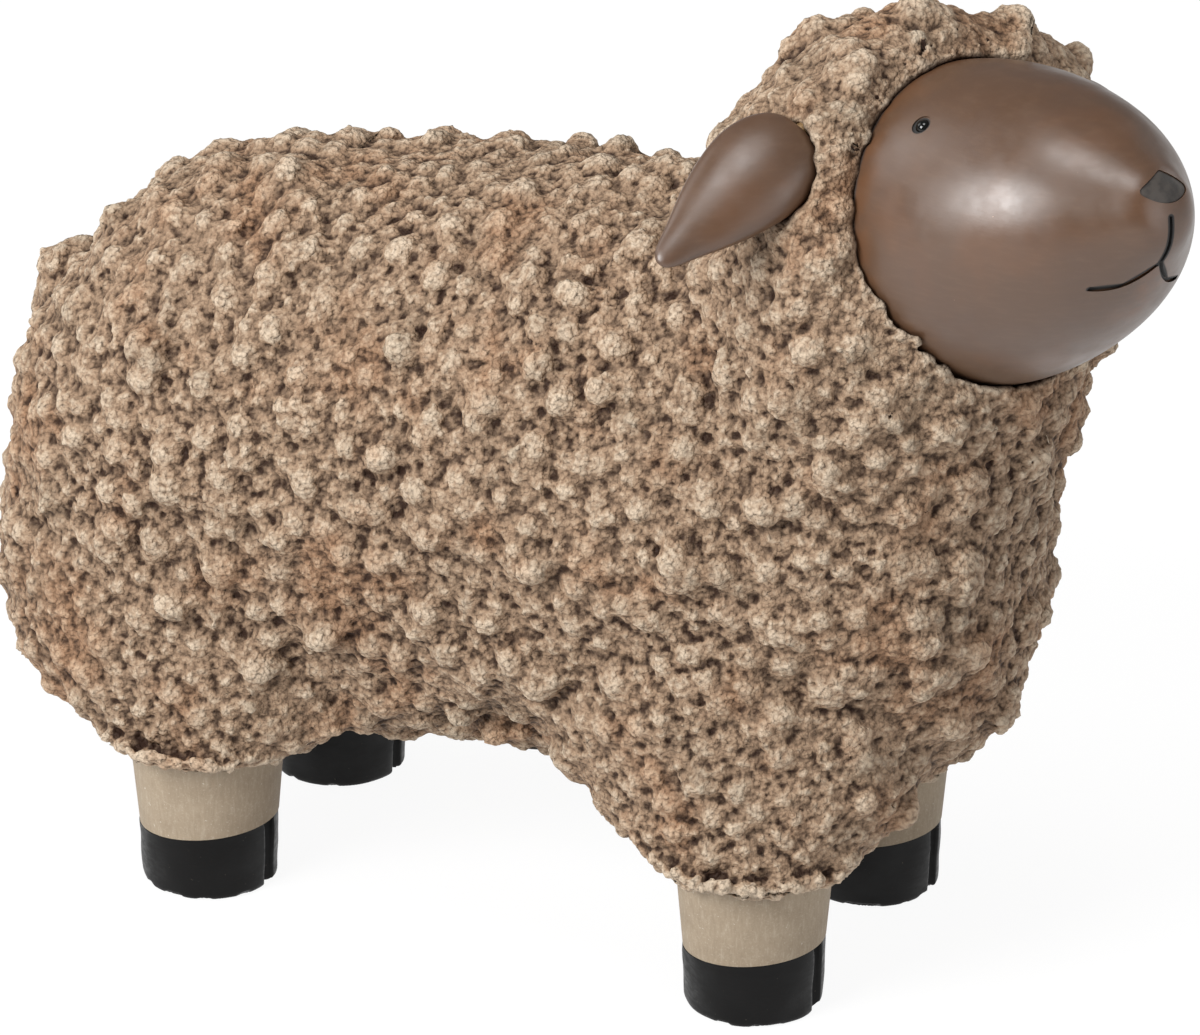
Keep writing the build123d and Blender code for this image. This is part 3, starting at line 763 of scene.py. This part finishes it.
@dataclass
class Fleece:
    """The rough casting over body, neck, hood and tail.

    Its solid gives the form, moved a little in a few broad places. Over that go three sizes of
    knobs, a crumbly grain, and the relief values that its finish reads.
    """

    finish: bpy.types.Material
    inset: float = 1.0
    core_voxel: float = 2.2
    knob_voxel: float = 1.4
    skin_voxel: float = 1.1
    swell_size: float = 60.0
    swell_height: float = 1.4
    grain_size: float = 2.6
    grain_height: float = 1.0
    crumb_size: float = 5.0
    crumb_height: float = 0.8
    crumbly_size: float = 34.0
    lip_height: float = 60.5
    lip_middle: float = 33.6
    lip_knobs: int = 250
    lip_inward: float = 0.6
    lip_width: float = 10.0
    lip_lift: float = 1.8
    lip_slope: float = 4.5
    lip_loose: float = 3.0
    lip_radius: tuple[float, float] = (2.4, 3.8)
    seam_near: float = 0.5
    seam_far: float = 4.0
    seam_shade_reach: float = 3.0
    fine_rounds: int = 6
    coarse_rounds: int = 60
    quick_voxel: float = 1.7
    clearance: float = 0.55
    seed: int = 41
    knobs: list[KnobSize] = field(
        default_factory=lambda: [
            KnobSize(10.4, 4.4, 8.8, 0.32, 0.74, 0.85, 0.7, 3),
            KnobSize(5.4, 2.5, 4.6, 0.20, 0.62, 0.8, 0.6, 2),
            KnobSize(4.6, 1.4, 2.2, 0.30, 0.75, 0.7, 0.35, 1),
        ]
    )
    pushes: list[Push] = field(
        default_factory=lambda: [
            Push((-238, 0, 246), 34, (6.5, 0, -4.5)),
            Push((-212, -48, 92), 44, (-11, -5, -2)),
            Push((152, 52, 112), 46, (-8, -4, 0)),
            Push((150, 68, 362), 30, (5, 4, 2)),
            Push((172, 42, 203), 34, (-5, -2, 0)),
            Push((-80, -66, 84), 22, (0, -2, -9)),
            Push((-14, -62, 80), 26, (0, 1, 9)),
        ]
    )
    cuts: tuple[float, float, float] = (-108 * MM, -28 * MM, 48 * MM)
    neck_cut: float = 232 * MM
    leg_nodes: tuple[str, ...] = ("right_front_leg", "left_front_leg", "right_hind_leg", "left_hind_leg")
    head_nodes: tuple[str, ...] = ("face", "right_ear", "left_ear")

    def skin(self) -> bpy.types.Mesh:
        """Takes the outside of the fleece's solid, without its hollow.

        Returns:
            A closed mesh of the outside, with its recesses for face, ears and legs.
        """
        work = bmesh.new()
        work.from_mesh(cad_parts["fleece_shell"].data)
        bmesh.ops.remove_doubles(work, verts=work.verts, dist=0.01 * MM)
        plug_low, plug_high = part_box("belly_plug")
        plug_x = (plug_low.x + plug_high.x) / 2
        head = Head()
        above_plug, off_bore, along_bore = 4 * MM, 0.6 * MM, 2.8 * MM
        doomed = []
        for face in work.faces:
            centre = face.calc_center_median()
            from_plug = math.hypot(centre.x - plug_x, centre.y)
            along, out = head.along_and_out(centre)
            in_vent = from_plug < head.vent_reach * MM and plug_low.z < centre.z < plug_high.z + above_plug
            near_bore = abs(out - head.spigot_reach * MM) < off_bore
            if in_vent or near_bore and abs(along - head.bore_middle * MM) < along_bore:
                doomed.append(face)
        bmesh.ops.delete(work, geom=doomed, context="FACES")
        islands, seen = [], set()
        for start in work.faces:
            if start in seen:
                continue
            island, front = [], [start]
            seen.add(start)
            while front:
                face = front.pop()
                island.append(face)
                for other in (other for edge in face.edges for other in edge.link_faces):
                    if other not in seen:
                        seen.add(other)
                        front.append(other)
            islands.append(island)
        spans = [[face.calc_center_median().x for face in island] for island in islands]
        keep = islands[int(np.argmax([max(span) - min(span) for span in spans]))]
        log.info("fleece solid: %d islands, kept one of %d faces", len(islands), len(keep))
        gone = set(work.faces) - set(keep)
        bmesh.ops.delete(work, geom=list(gone), context="FACES")
        bmesh.ops.holes_fill(work, edges=[e for e in work.edges if e.is_boundary], sides=0)
        mesh = bpy.data.meshes.new("skin")
        work.to_mesh(mesh)
        work.free()
        return mesh

    def near_smooth(self, points: np.ndarray) -> tuple[np.ndarray, np.ndarray, np.ndarray]:
        """Finds how far points are from the smooth pieces that the fleece meets.

        Args:
            points: the points, in metres.

        Returns:
            Distances in millimetres, with the nearest places and their outward directions. A distance
            is negative inside a piece, but also just below the level of a piece's sharp rim.
        """
        far = 40 * MM
        distances = np.full(len(points), far / MM)
        places = np.array(points)
        outward = np.zeros_like(points)
        for node in self.head_nodes + self.leg_nodes:
            low, high = (np.array(c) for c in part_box(node))
            close = np.all((points > low - far) & (points < high + far), axis=1)
            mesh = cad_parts[node].data
            corners = [v.co for v in mesh.vertices]
            tree = BVHTree.FromPolygons(corners, [tuple(p.vertices) for p in mesh.polygons])
            for i in np.flatnonzero(close):
                spot = Vector(points[i])
                place, normal, _, distance = tree.find_nearest(spot, far)
                if place is None:
                    continue
                side = -1.0 if (spot - place).dot(normal) < 0 else 1.0
                if side * distance / MM < distances[i]:
                    distances[i] = side * distance / MM
                    places[i] = place
                    outward[i] = normal
        return distances, places, outward

    def core(self) -> bpy.types.Mesh:
        """Makes the smooth form under the knobs, drawn in from the solid and gently swelling."""
        mesh = with_modifiers(self.skin(), lambda o: add_voxels(o, self.core_voxel))
        points, _ = points_and_triangles(mesh)
        normals = point_normals(mesh)
        distances, _, _ = self.near_smooth(points)
        open_share = np.clip((distances - self.seam_near) / (self.seam_far - self.seam_near), 0, 1)
        moved = points - normals * (self.inset * MM * open_share)[:, None]
        for push in self.pushes:
            away = np.linalg.norm(points - np.array(push.place) * MM, axis=1) / (push.reach * MM)
            moved += (np.exp(-(away**2)) * open_share)[:, None] * np.array(push.move) * MM
        moved_to(mesh, moved)
        return with_modifiers(mesh, self.add_swell)

    def add_swell(self, holder: bpy.types.Object) -> None:
        """Adds the slow swelling of the form by hand modelling.

        Args:
            holder: the object that gets the modifier.
        """
        draft = ReliefDraft("swell")
        cloud = draft.noise(self.swell_size, 1.0, 0.5)
        most = self.swell_height * MM
        draft.add_to(holder, draft.ramp(cloud, 0.3, 0.7, -most, most))

    def add_grain(self, holder: bpy.types.Object) -> None:
        """Adds the small domed grains and the crumbly patches between knobs.

        Args:
            holder: the object that gets the modifier, whose points store open_share.
        """
        draft = ReliefDraft("grain")
        warped = draft.warped(5.0, 3.0)
        grain = draft.cells(self.grain_size, warped)
        dome = draft.times(draft.times(grain, grain), -self.grain_height * MM)
        crumb = draft.noise(self.crumb_size, 4.0, 0.65, place=warped)
        crumb = draft.node("ShaderNodeMath", {0: crumb, 1: 0.5}, operation="SUBTRACT")
        crumbly = draft.ramp(draft.noise(self.crumbly_size, 1.0, 0.5), 0.5, 0.65, 0.2, 2.6)
        crumb = draft.times(crumb, crumbly)
        feeds = {0: crumb, 1: self.crumb_height * MM, 2: dome}
        height = draft.node("ShaderNodeMath", feeds, operation="MULTIPLY_ADD")
        share = draft.node("GeometryNodeInputNamedAttribute", {"Name": "open_share"}, data_type="FLOAT")
        draft.add_to(holder, draft.times(height, share))

    def scattered(self, mesh: bpy.types.Mesh, size: KnobSize, draw: np.random.Generator) -> np.ndarray:
        """Picks places for knobs of one size, none nearer to another than their spacing.

        Args:
            mesh: the surface they sit on.
            size: the knobs' size.
            draw: the seeded source of chance.

        Returns:
            One row per knob: its middle, in metres, and its radius.
        """
        points, triangles = points_and_triangles(mesh)
        a, b, c = (points[triangles[:, i]] for i in range(3))
        cross = np.cross(b - a, c - a)
        area = np.linalg.norm(cross, axis=1)
        wanted = int(2.2 * area.sum() / 2 / (size.spacing * MM) ** 2)
        pick = draw.choice(len(triangles), wanted, p=area / area.sum())
        u, v = draw.random(wanted), draw.random(wanted)
        flip = u + v > 1
        u[flip], v[flip] = 1 - u[flip], 1 - v[flip]
        spots = a[pick] + (b - a)[pick] * u[:, None] + (c - a)[pick] * v[:, None]
        outward = cross[pick] / np.maximum(area[pick], 1e-12)[:, None]
        cell = size.spacing * MM
        taken: dict[tuple[int, int, int], list[int]] = {}
        kept = []
        keys = np.floor(spots / cell).astype(int)
        gap = (size.spacing * MM * size.ring_share) ** 2
        for i, (x, y, z) in enumerate(keys.tolist()):
            spot = spots[i]
            clash = any(
                ((spots[j] - spot) ** 2).sum() < gap
                for dx in (-1, 0, 1)
                for dy in (-1, 0, 1)
                for dz in (-1, 0, 1)
                for j in taken.get((x + dx, y + dy, z + dz), ())
            )
            if not clash:
                taken.setdefault((x, y, z), []).append(i)
                kept.append(i)
        spots, outward = spots[kept], outward[kept]
        radius = draw.uniform(size.smallest, size.largest, len(kept)) * MM
        sunk = draw.uniform(size.sunk_least, size.sunk_most, len(kept)) * radius
        distances, _, _ = self.near_smooth(spots)
        free = distances * MM > radius * size.seam_share
        middles = spots - outward * sunk[:, None]
        return np.hstack([middles, radius[:, None]])[free]

    def uncovered(self, knobs: np.ndarray, above: np.ndarray, share: float) -> np.ndarray:
        """Leaves out the knobs whose middles lie inside larger ones.

        Args:
            knobs: one row per knob, its middle and radius.
            above: rows of the larger knobs.
            share: how much of a larger knob's radius counts as inside.

        Returns:
            The rows that stay.
        """
        places = KDTree(len(above))
        for number, row in enumerate(above):
            places.insert(row[:3], number)
        places.balance()
        reach = above[:, 3].max() * share
        stays = [
            not any(away < above[number, 3] * share for _, number, away in places.find_range(row[:3], reach))
            for row in knobs
        ]
        return knobs[np.array(stays)]

    def lip_knobs_round(self, draw: np.random.Generator) -> np.ndarray:
        """Places small knobs that close the fleece's lip against the top of each leg.

        Args:
            draw: the seeded source of chance.

        Returns:
            One row per knob: its middle, in metres, and its radius.
        """
        rows = []
        for node in self.leg_nodes:
            low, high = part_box(node)
            middle = (low + high) / 2
            for turn in np.linspace(0, 2 * math.pi, self.lip_knobs, endpoint=False):
                step = draw.uniform(0.0, 1.0)
                out = (self.lip_middle - self.lip_inward + self.lip_width * step) * MM
                height = self.lip_height + self.lip_lift + self.lip_slope * step
                height = (height + draw.uniform(0.0, self.lip_loose)) * MM
                x, y = middle.x + out * math.cos(turn), middle.y + out * math.sin(turn)
                rows.append((x, y, height, draw.uniform(*self.lip_radius) * MM))
        return np.array(rows)

    def studded(
        self, mesh: bpy.types.Mesh, knobs: np.ndarray, rings: int, draw: np.random.Generator
    ) -> bpy.types.Mesh:
        """Joins a surface with its knobs, each a slightly squashed ball.

        Args:
            mesh: the surface.
            knobs: one row per knob, its middle and radius.
            rings: how finely each ball is divided.
            draw: the seeded source of chance.

        Returns:
            One mesh of triangles with overlapping closed parts.
        """
        ball = bmesh.new()
        bmesh.ops.create_icosphere(ball, subdivisions=rings, radius=1.0)
        unit = np.array([v.co for v in ball.verts])
        faces = np.array([[v.index for v in f.verts] for f in ball.faces])
        ball.free()
        squash = draw.uniform(0.8, 1.2, (len(knobs), 1, 3))
        spin = np.linalg.qr(draw.normal(size=(len(knobs), 3, 3)))[0]
        spin[np.linalg.det(spin) < 0] *= -1
        balls = np.einsum("kij,kpj->kpi", spin, unit[None] * squash) * knobs[:, None, 3:]
        balls += knobs[:, None, :3]
        points, triangles = points_and_triangles(mesh)
        offsets = len(points) + len(unit) * np.arange(len(knobs))
        all_points = np.vstack([points, balls.reshape(-1, 3)])
        all_faces = np.vstack([triangles, (faces[None] + offsets[:, None, None]).reshape(-1, 3)])
        return mesh_of("studded", all_points, all_faces)

    def relief(self, mesh: bpy.types.Mesh, rounds: int) -> np.ndarray:
        """Measures how far each point stands out from the surface once that is smoothed.

        Args:
            mesh: the finished surface.
            rounds: how many times each point is averaged with its neighbours.

        Returns:
            Heights in millimetres, negative in hollows.
        """
        points, _ = points_and_triangles(mesh)
        edges = np.empty(len(mesh.edges) * 2, np.int32)
        mesh.edges.foreach_get("vertices", edges)
        a, b = edges.reshape(-1, 2).T
        count = np.bincount(np.concatenate([a, b]), minlength=len(points)).clip(1)
        smooth = points.copy()
        for _ in range(rounds):
            total = [np.bincount(a, s[b], len(points)) + np.bincount(b, s[a], len(points)) for s in smooth.T]
            total = np.stack(total, axis=1)
            smooth = 0.3 * smooth + 0.7 * total / count[:, None]
        return ((points - smooth) * point_normals(mesh)).sum(1) / MM

    def store(self, mesh: bpy.types.Mesh, name: str, values: np.ndarray) -> None:
        """Stores one number per point under a name."""
        attribute = mesh.attributes.get(name) or mesh.attributes.new(name, "FLOAT", "POINT")
        attribute.data.foreach_set("value", values.astype(np.float32))

    def surface(self) -> bpy.types.Mesh:
        """Makes the whole knobbly surface with its stored relief."""
        draw = np.random.default_rng(self.seed)
        voxel = self.skin_voxel * 1.0
        mesh = core = self.core()
        large, middling, small = self.knobs
        big = self.scattered(core, large, draw)
        mid = self.uncovered(self.scattered(core, middling, draw), big, 0.8)
        for knobs, rings in ((big, large.rings), (mid, middling.rings)):
            mesh = self.studded(mesh, knobs, rings, draw)
        mesh = with_modifiers(mesh, lambda o: add_voxels(o, self.knob_voxel))
        fine = self.uncovered(self.scattered(mesh, small, draw), big, 0.95)
        fine = np.vstack([fine, self.lip_knobs_round(draw)])
        mesh = with_modifiers(self.studded(mesh, fine, small.rings, draw), lambda o: add_voxels(o, voxel))
        log.info("fleece: %d, %d and %d knobs, %d faces", len(big), len(mid), len(fine), len(mesh.polygons))
        points, _ = points_and_triangles(mesh)
        distances, _, _ = self.near_smooth(points)
        share = np.clip((distances - self.seam_near) / (self.seam_far - self.seam_near), 0.35, 1)
        self.store(mesh, "open_share", share)
        mesh = with_modifiers(mesh, self.add_grain)
        points, _ = points_and_triangles(mesh)
        distances, places, outward = self.near_smooth(points)
        tight = distances < self.clearance
        points[tight] = places[tight] + outward[tight] * self.clearance * MM
        moved_to(mesh, points)
        self.store(mesh, "relief_fine", self.relief(mesh, self.fine_rounds))
        self.store(mesh, "relief_coarse", self.relief(mesh, self.coarse_rounds))
        # The seam value marks where the finish paints shade and brown wash next to the face, ears and legs.
        self.store(mesh, "seam", np.clip(1 - (distances - self.seam_near) / self.seam_shade_reach, 0, 1))
        return mesh

    def cut(self, whole: bmesh.types.BMesh, walls: list[tuple[Vector, float]]) -> bmesh.types.BMesh:
        """Cuts one section out of the fleece, still open where it was cut.

        Args:
            whole: the whole fleece.
            walls: for each wall its outward direction and its place along that direction.

        Returns:
            The section.
        """
        part = whole.copy()
        for outward, place in walls:
            bmesh.ops.bisect_plane(
                part,
                geom=part.verts[:] + part.edges[:] + part.faces[:],
                plane_co=outward * place,
                plane_no=outward,
                clear_outer=True,
            )
        return part

    def build(self) -> None:
        """Builds the fleece in sections that meet at flat walls.

        Walls that meet each other inside the fleece, as between chest and hood, stay open there,
        where the sections hide them.
        """
        whole = bmesh.new()
        whole.from_mesh(self.surface())
        along, up = Vector((1, 0, 0)), Vector((0, 0, 1))
        hind, mid, fore = self.cuts
        sections = {
            "rump": [(along, hind)],
            "loin": [(-along, -hind), (along, mid)],
            "barrel": [(-along, -mid), (along, fore)],
            "chest": [(-along, -fore), (up, self.neck_cut)],
            "hood": [(-along, -fore), (-up, -self.neck_cut)],
        }
        for name, walls in sections.items():
            part = self.cut(whole, walls)
            mesh = bpy.data.meshes.new(f"fleece_{name}")
            part.to_mesh(mesh)
            # The cut faces don't bend the shading at their rims, which would show as lines.
            normals = point_normals(mesh)
            for outward, place in walls:
                rim = [e for e in part.edges if e.is_boundary]
                rim = [e for e in rim if all(abs(v.co.dot(outward) - place) < 0.01 * MM for v in e.verts)]
                bmesh.ops.triangle_fill(part, use_beauty=False, edges=rim, normal=outward)
            part.to_mesh(mesh)
            part.free()
            smooth_shaded(mesh)
            mesh.normals_split_custom_set_from_vertices(normals)
            put_piece(f"fleece_{name}", mesh, self.finish, "fleece_shell")
        whole.free()


@dataclass
class CastHooves:
    """The hooves, cast with soft hand-worked sides flush with the legs and a chipped foot.

    Sizes are in millimetres.
    """

    finish: bpy.types.Material
    voxel: float = 0.8
    band: tuple[float, float] = (7.0, 16.0)
    proud: float = 0.25
    bins: int = 90
    swell_size: float = 11.0
    swell_height: float = 0.5
    chip_size: float = 7.0
    chip_height: float = 5.0
    chip_most: float = 1.5
    chip_from: float = 0.1
    foot: float = 2.4
    rind: float = 3.0

    def shaped(self, mesh: bpy.types.Mesh, middle: Vector) -> None:
        """Draws the top edge in flush, works the sides softly and chips the foot.

        Args:
            mesh: one hoof's mesh, which is changed.
            middle: the middle of its box.
        """
        points, _ = points_and_triangles(mesh)
        away = points[:, :2] - np.array(middle[:2])
        out = np.linalg.norm(away, axis=1)
        height = points[:, 2] / MM
        turn = (np.arctan2(away[:, 1], away[:, 0]) / (2 * math.pi) * self.bins).astype(int) % self.bins
        side = np.zeros(self.bins)
        level = (height > self.band[0]) & (height < self.band[1])
        np.maximum.at(side, turn[level], out[level])
        reach = side[turn] + self.proud * MM
        above = height > self.band[1]
        new_out = np.where(above, np.minimum(out, reach), out)
        outer = new_out > reach - self.rind * MM
        swell = np.array([noise.noise(Vector(p) / (self.swell_size * MM)) for p in points])
        new_out = new_out + np.where(outer, swell * self.swell_height * MM, 0)
        points[:, :2] = np.array(middle[:2]) + away * (new_out / np.maximum(out, MM))[:, None]
        chip = np.array([noise.noise(Vector((p[0], p[1], middle.x)) / (self.chip_size * MM)) for p in points])
        chip = np.clip((chip - self.chip_from) * self.chip_height, 0, self.chip_most) * MM
        low = np.clip((self.foot - height) / self.foot, 0, 1) * outer
        points[:, 2] += chip * low
        moved_to(mesh, points)

    def build(self) -> None:
        """Builds the four hooves in place of their solids."""
        hooves = [(node, solid) for node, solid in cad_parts.items() if node.endswith("_hoof")]
        for node, solid in hooves:
            low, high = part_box(node)
            mesh = with_modifiers(solid.data.copy(), lambda o: add_voxels(o, self.voxel))
            self.shaped(mesh, (low + high) / 2)
            smooth_shaded(mesh)
            put_piece(f"{node}_cast", mesh, self.finish, node)


@dataclass
class SolidPieces:
    """Pieces whose solids already have the right shape and get only their finish."""

    finishes: dict[str, bpy.types.Material]

    def dress(self) -> None:
        """Gives each remaining solid its finish."""
        for node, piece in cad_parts.items():
            found = next((m for part, m in self.finishes.items() if node.endswith(part)), None)
            if found is not None:
                piece.data.materials.clear()
                piece.data.materials.append(found)
                log.info("%s: %s", node, found.name)


@dataclass(frozen=True)
class Lamp:
    """A soft square lamp: degrees round and above the object, metres away and wide, and watts."""

    name: str
    azimuth: float
    elevation: float
    away: float
    size: float
    power: float


@dataclass
class Studio:
    """Pale floor, soft lamps and the camera at the photograph's angle."""

    azimuth: float = 26.1
    elevation: float = 25.0
    distance: float = 3.0
    target: tuple[float, float, float] = (22.27 * MM, -54 * MM, 190 * MM)
    lens: float = 236.8
    floor_white: float = 0.88
    floor_glow: float = 1.06
    lamps: tuple[Lamp, ...] = (
        Lamp("key", -22.0, 32.0, 2.47, 1.1, 61.0),
        Lamp("rear_fill", -85.0, 35.0, 2.6, 1.4, 12.0),
        Lamp("top", 20.0, 78.0, 2.4, 1.0, 20.0),
        Lamp("far_rim", 150.0, 25.0, 2.6, 1.0, 6.0),
        Lamp("front_fill", 85.0, 18.0, 2.6, 1.4, 12.0),
    )

    def toward(self, azimuth: float, elevation: float) -> Vector:
        """Direction from the object to a place round it.

        Args:
            azimuth: degrees round from a view along +Y.
            elevation: degrees above level.

        Returns:
            A unit vector.
        """
        a, e = math.radians(azimuth), math.radians(elevation)
        return Vector((math.sin(a) * math.cos(e), -math.cos(a) * math.cos(e), math.sin(e)))

    def hang(self, holder: bpy.types.Object, aim: Vector, way: Vector, away: float) -> None:
        """Puts a lamp or camera in the scene, looking back at what it is aimed at.

        Args:
            holder: the lamp or camera.
            aim: the place it looks at.
            way: the direction from there to it.
            away: its distance, in metres.
        """
        holder.location = aim + way * away
        holder.rotation_mode = "QUATERNION"
        holder.rotation_quaternion = (-way).to_track_quat("-Z", "Y")
        bpy.context.scene.collection.objects.link(holder)

    def camera(self) -> None:
        """Places the camera as in the photograph."""
        data = bpy.data.cameras.new("camera")
        data.lens = self.lens
        data.sensor_width = 36.0
        data.clip_start, data.clip_end = 0.05, 50.0
        camera = bpy.data.objects.new("camera", data)
        self.hang(camera, Vector(self.target), self.toward(self.azimuth, self.elevation), self.distance)
        bpy.context.scene.camera = camera

    def lamp(self, lamp: Lamp) -> None:
        """Hangs one soft square lamp, aimed at the object's middle."""
        data = bpy.data.lights.new(lamp.name, "AREA")
        data.shape = "SQUARE"
        data.size = lamp.size
        data.energy = lamp.power
        way = self.toward(lamp.azimuth, lamp.elevation)
        self.hang(bpy.data.objects.new(lamp.name, data), Vector((0, 0, 0.2)), way, lamp.away)

    def floor(self) -> None:
        """Lays a wide white floor that keeps a soft shadow."""
        bpy.ops.mesh.primitive_plane_add(size=40.0, location=(0, 0, 0))
        floor = bpy.context.object
        floor.name = "floor"
        material = bpy.data.materials.new("white_sweep")
        material.use_nodes = True
        tree = material.node_tree
        tree.nodes.clear()
        matt = add_node(tree, "ShaderNodeBsdfDiffuse", {"Color": (0.8, 0.8, 0.8, 1.0)}).outputs[0]
        white = {"Color": (1, 1, 1, 1), "Strength": self.floor_glow}
        white = add_node(tree, "ShaderNodeEmission", white).outputs[0]
        path = add_node(tree, "ShaderNodeLightPath").outputs
        seen = path["Is Camera Ray"]
        for ray in ("Is Glossy Ray", "Is Transmission Ray"):
            seen = add_node(tree, "ShaderNodeMath", {0: seen, 1: path[ray]}, operation="MAXIMUM").outputs[0]
        share = {0: seen, 1: self.floor_white}
        share = add_node(tree, "ShaderNodeMath", share, operation="MULTIPLY").outputs[0]
        shader = add_node(tree, "ShaderNodeMixShader", {0: share, 1: matt, 2: white})
        add_node(tree, "ShaderNodeOutputMaterial", {0: shader.outputs[0]})
        floor.data.materials.append(material)

    def sky(self) -> None:
        """Fills the studio with pale even light."""
        world = bpy.data.worlds.new("studio")
        bpy.context.scene.world = world
        world.use_nodes = True
        world.node_tree.nodes.clear()
        light = {"Color": (1.0, 1.0, 1.0, 1.0), "Strength": 0.2}
        sky = add_node(world.node_tree, "ShaderNodeBackground", light)
        add_node(world.node_tree, "ShaderNodeOutputWorld", {0: sky.outputs[0]})

    def build(self) -> None:
        """Sets up floor, light and camera."""
        bpy.context.scene.view_settings.view_transform = "Standard"
        self.floor()
        self.sky()
        for lamp in self.lamps:
            self.lamp(lamp)
        self.camera()


def main() -> None:
    """Builds and dresses the ornament, then the studio."""
    logging.basicConfig(level=logging.INFO, format="%(message)s")
    Studio().build()
    hide = SatinHidePaint().build()
    enamel = HoofEnamel().build()
    SolidPieces(
        {
            "face": SatinHidePaint().build_face(Head()),
            "right_ear": hide,
            "left_ear": hide,
            "_leg": BrushedStonePaint().build(),
            "_hoof": enamel,
            "nose": SLATE_SATIN.build(),
            "_eye": BLACK_GLASS.build(),
            "belly_plug": MOULDED_RUBBER.build(),
            "_dowel": TURNED_BEECH.build(),
            "_rod": DRAWN_STEEL.build(),
        }
    ).dress()
    CastHooves(enamel).build()
    Fleece(WashedStoneCasting().build()).build()


if __name__ == "__main__":
    main()
